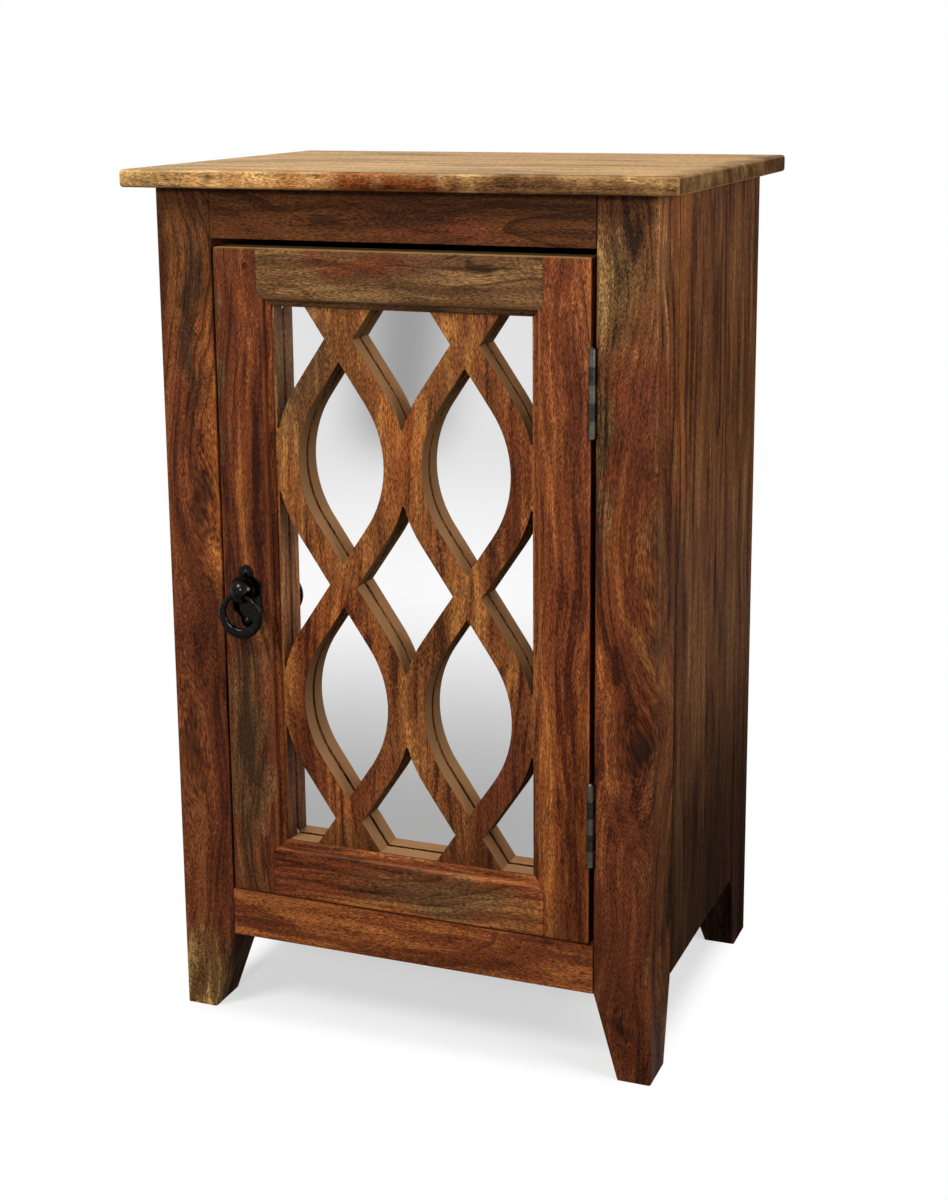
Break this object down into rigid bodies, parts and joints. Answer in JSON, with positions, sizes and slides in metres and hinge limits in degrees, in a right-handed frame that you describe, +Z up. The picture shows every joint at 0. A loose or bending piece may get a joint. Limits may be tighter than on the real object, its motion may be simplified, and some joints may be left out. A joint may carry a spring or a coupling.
{
  "type": "storage side table",
  "caption": "Small wooden side table with a cabinet, tapered feet and a hinged door with a pierced lattice over a mirror and a ring pull.",
  "frame": {"origin": "on the floor, at the middle of the outer box", "axes": "+X to the right seen from the front, +Y to the back, +Z up; the door is on the -Y side"},
  "size_m": [0.486, 0.362, 0.762],
  "materials": {
    "top_wood": "satin oiled hardwood, open grain",
    "frame_wood": "satin stained hardwood, open grain",
    "fretwork_wood": "satin stained hardwood, lighter on the sawn edges",
    "inner_wood": "thin matt stain",
    "mirror": "silvered glass",
    "blackened_iron": "blackened and waxed",
    "hinge_steel": "dark antiqued steel",
    "screw_steel": "zinc plated",
    "catch_plastic": "moulded brown plastic"
  },
  "bodies": {
    "cabinet": {"back_bottom_rail": "frame_wood", "back_leg_left": "frame_wood", "back_leg_right": "frame_wood", "back_panel": "inner_wood", "back_panel_screws": "screw_steel", "back_top_rail": "frame_wood", "cabinet_hinge_screws": "screw_steel", "catch_housing": "catch_plastic", "catch_magnet": "screw_steel", "catch_screws": "screw_steel", "cleat_screws": "screw_steel", "floor_cleat_left": "inner_wood", "floor_cleat_right": "inner_wood", "floor_panel": "inner_wood", "front_apron": "frame_wood", "front_leg_left": "frame_wood", "front_leg_right": "frame_wood", "front_top_rail": "frame_wood", "lower_hinge_cabinet_leaf": "hinge_steel", "lower_hinge_pin": "hinge_steel", "shelf": "inner_wood", "shelf_cleat_left": "inner_wood", "shelf_cleat_right": "inner_wood", "side_board_left_back": "frame_wood", "side_board_left_front": "frame_wood", "side_board_right_back": "frame_wood", "side_board_right_front": "frame_wood", "top_board_back": "top_wood", "top_board_front": "top_wood", "top_board_middle": "top_wood", "top_cleat_left": "inner_wood", "top_cleat_right": "inner_wood", "top_fixing_screws": "screw_steel", "upper_hinge_cabinet_leaf": "hinge_steel", "upper_hinge_pin": "hinge_steel"},
    "door": {"backing_screws": "screw_steel", "bead_bottom": "fretwork_wood", "bead_left": "fretwork_wood", "bead_right": "fretwork_wood", "bead_top": "fretwork_wood", "door_bottom_rail": "frame_wood", "door_hinge_screws": "screw_steel", "door_hinge_stile": "frame_wood", "door_latch_stile": "frame_wood", "door_top_rail": "frame_wood", "fretwork_panel": "fretwork_wood", "lower_hinge_door_leaf": "hinge_steel", "mirror": "mirror", "mirror_backing": "inner_wood", "pull_backplate": "blackened_iron", "pull_boss": "blackened_iron", "pull_nails": "blackened_iron", "pull_nut": "screw_steel", "stile_plug": "frame_wood", "strike_plate": "screw_steel", "strike_screws": "screw_steel", "upper_hinge_door_leaf": "hinge_steel"},
    "ring": {"pull_ring": "blackened_iron"}
  },
  "joints": [
    {"name": "door_hinge", "type": "hinge", "parent": "cabinet", "child": "door", "pos_m": [0.16825, -0.1607, 0.4095], "axis": [0, 0, 1], "range_deg": [0, 170]},
    {"name": "ring_swing", "type": "hinge", "parent": "door", "child": "ring", "pos_m": [-0.146, -0.1725, 0.3992], "axis": [-1, 0, 0], "range_deg": [0, 90]}
  ]
}
